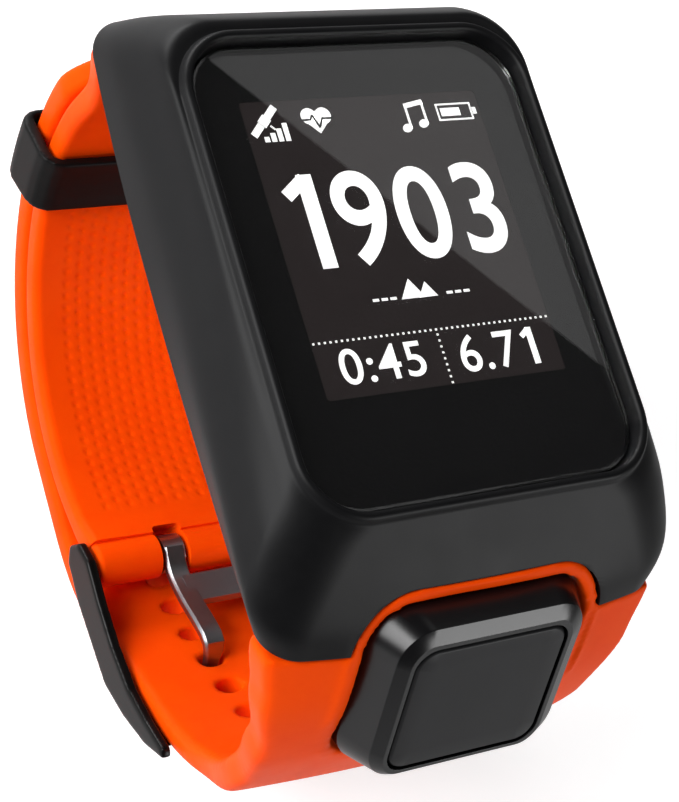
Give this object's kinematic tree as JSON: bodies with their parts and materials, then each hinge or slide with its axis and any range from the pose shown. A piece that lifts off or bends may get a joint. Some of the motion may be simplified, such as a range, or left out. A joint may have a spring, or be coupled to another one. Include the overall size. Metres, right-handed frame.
{
  "type": "gps running watch",
  "caption": "Rectangular running watch with a closed silicone strap, double-prong buckle, keeper loop and four-way button below the display.",
  "frame": {"origin": "centre of the watch's bounding box on the surface that the lowest strap stretch stands on", "axes": "+X towards 3 o'clock, +Y towards 12 o'clock, +Z out of the display"},
  "size_m": [0.0388, 0.0687, 0.0563],
  "materials": {
    "black_frame": "soft-touch black",
    "black_gloss": "glossy black",
    "black_rubber": "matte seal rubber",
    "cover_glass": "polished cover glass",
    "orange_silicone": "satin silicone",
    "pad_grey": "satin dark grey",
    "circuit_board": "solder mask",
    "silver_foil": "foil",
    "ceramic": "fired ceramic",
    "steel": "brushed",
    "gunmetal": "dark coated metal",
    "gold_contact": "plated",
    "white_plastic": "matte",
    "led_green": "clear epoxy"
  },
  "bodies": {
    "watch": {"case_frame": "black_frame", "front_glass": "cover_glass", "glass_seal": "black_rubber", "display_panel": "black_gloss", "display_holder": "white_plastic", "module_housing": "black_frame", "rear_seal": "black_rubber", "rear_cover": "black_frame", "sensor_window": "black_gloss", "sensor_led_left": "led_green", "sensor_led_right": "led_green", "photodiode": "black_gloss", "sensor_board": "circuit_board", "main_board": "circuit_board", "battery": "silver_foil", "gps_antenna": "ceramic", "vibration_motor": "steel", "button_frame": "black_gloss", "button_board": "circuit_board", "strap_upper": "orange_silicone", "strap_lower": "orange_silicone", "spring_bar": "steel", "charging_contact_1": "gold_contact", "rear_screw_1": "steel", "charging_contact_2": "gold_contact", "rear_screw_2": "steel", "charging_contact_3": "gold_contact", "rear_screw_3": "steel", "charging_contact_4": "gold_contact", "rear_screw_4": "steel", "button_switch_up": "steel", "button_switch_down": "steel", "button_switch_left": "steel", "button_switch_right": "steel"},
    "button_carrier": {"button_carrier": "white_plastic"},
    "button_pad": {"button_pad": "pad_grey"},
    "buckle": {"buckle_frame": "gunmetal"},
    "tongue": {"buckle_tongue": "gunmetal"},
    "keeper": {"keeper_loop": "black_gloss"}
  },
  "joints": [
    {"name": "button_pitch", "type": "hinge", "parent": "watch", "child": "button_carrier", "pos_m": [0, -0.02915, 0.04397], "axis": [1, 0, 0], "range_deg": [-2.5, 2.5], "stiffness_Nm_per_rad": 0.05},
    {"name": "button_roll", "type": "hinge", "parent": "button_carrier", "child": "button_pad", "pos_m": [0, -0.02915, 0.04397], "axis": [0, 0.5432, 0.8396], "range_deg": [-2.5, 2.5], "stiffness_Nm_per_rad": 0.05},
    {"name": "buckle_swing", "type": "hinge", "parent": "watch", "child": "buckle", "pos_m": [0, -0.00625, 0.00713], "axis": [1, 0, 0], "range_deg": [0, 60]},
    {"name": "tongue_swing", "type": "hinge", "parent": "watch", "child": "tongue", "pos_m": [0, -0.00625, 0.00713], "axis": [-1, 0, 0], "range_deg": [0, 60]},
    {"name": "keeper_slide", "type": "hinge", "parent": "watch", "child": "keeper", "pos_m": [0, 0.006, 0.028], "axis": [1, 0, 0], "range_deg": [-45, 15]}
  ]
}
